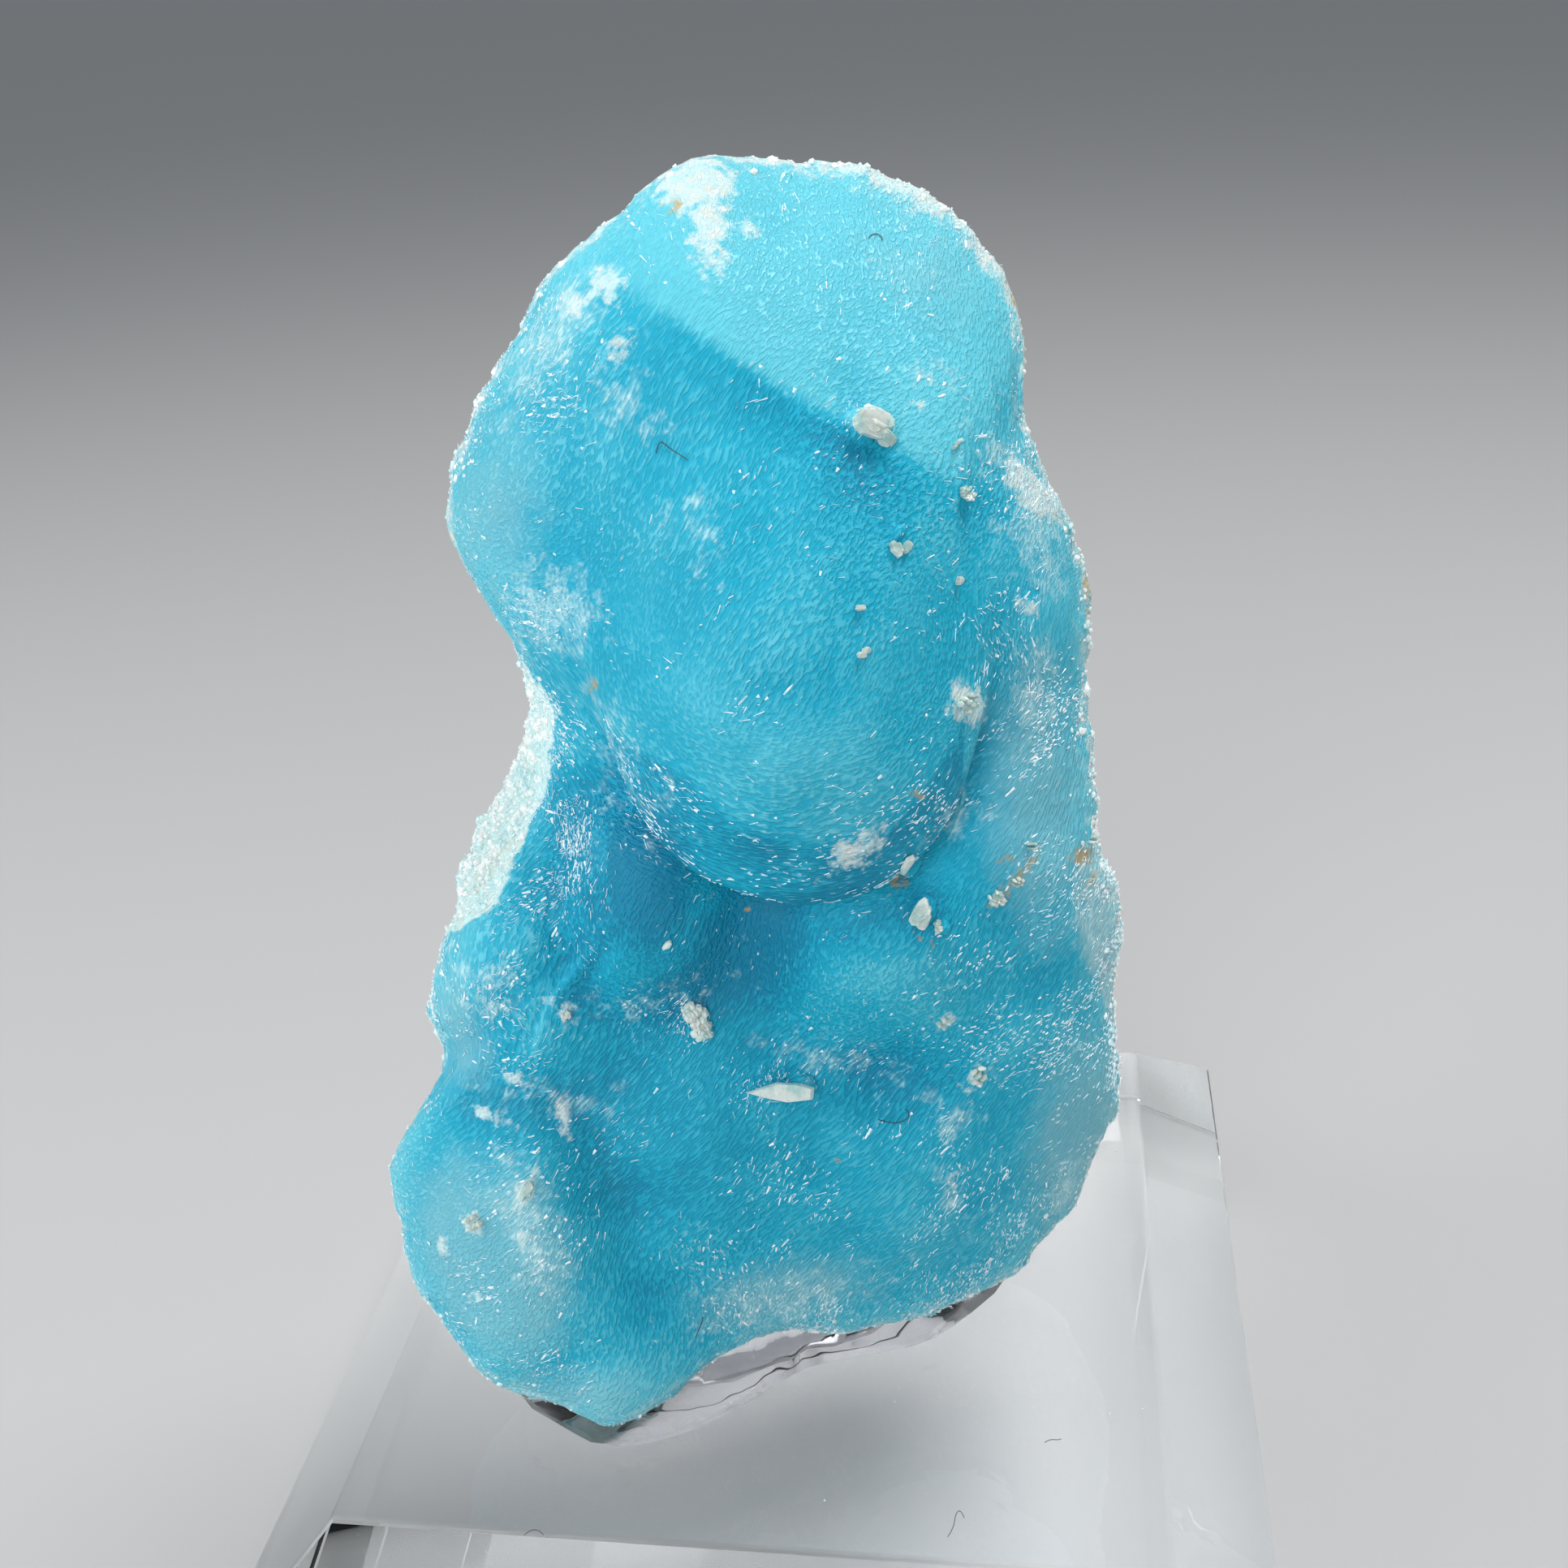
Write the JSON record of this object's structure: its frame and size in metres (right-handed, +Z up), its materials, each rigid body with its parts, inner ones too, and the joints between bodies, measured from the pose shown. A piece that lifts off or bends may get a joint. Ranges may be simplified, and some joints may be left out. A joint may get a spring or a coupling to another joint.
{
  "type": "hemimorphite specimen",
  "caption": "Blue botryoidal hemimorphite with a drooping rounded bulb, stood on a clear bevelled acrylic block with clear mineral tack.",
  "frame": {"origin": "middle of the block's underside", "axes": "+Z up, X and Y square to the block's sides, the specimen's face looks towards -Y"},
  "size_m": [0.05, 0.05, 0.0738],
  "materials": {
    "hemimorphite": "translucent sky blue druse with a frosty glitter, pale broken rims and rusty specks",
    "clear_tack": "clear, wet-looking putty",
    "clear_acrylic": "clear polished acrylic"
  },
  "bodies": {
    "root": {"hemimorphite": "hemimorphite", "mineral_tack": "clear_tack", "acrylic_base": "clear_acrylic"}
  },
  "joints": []
}
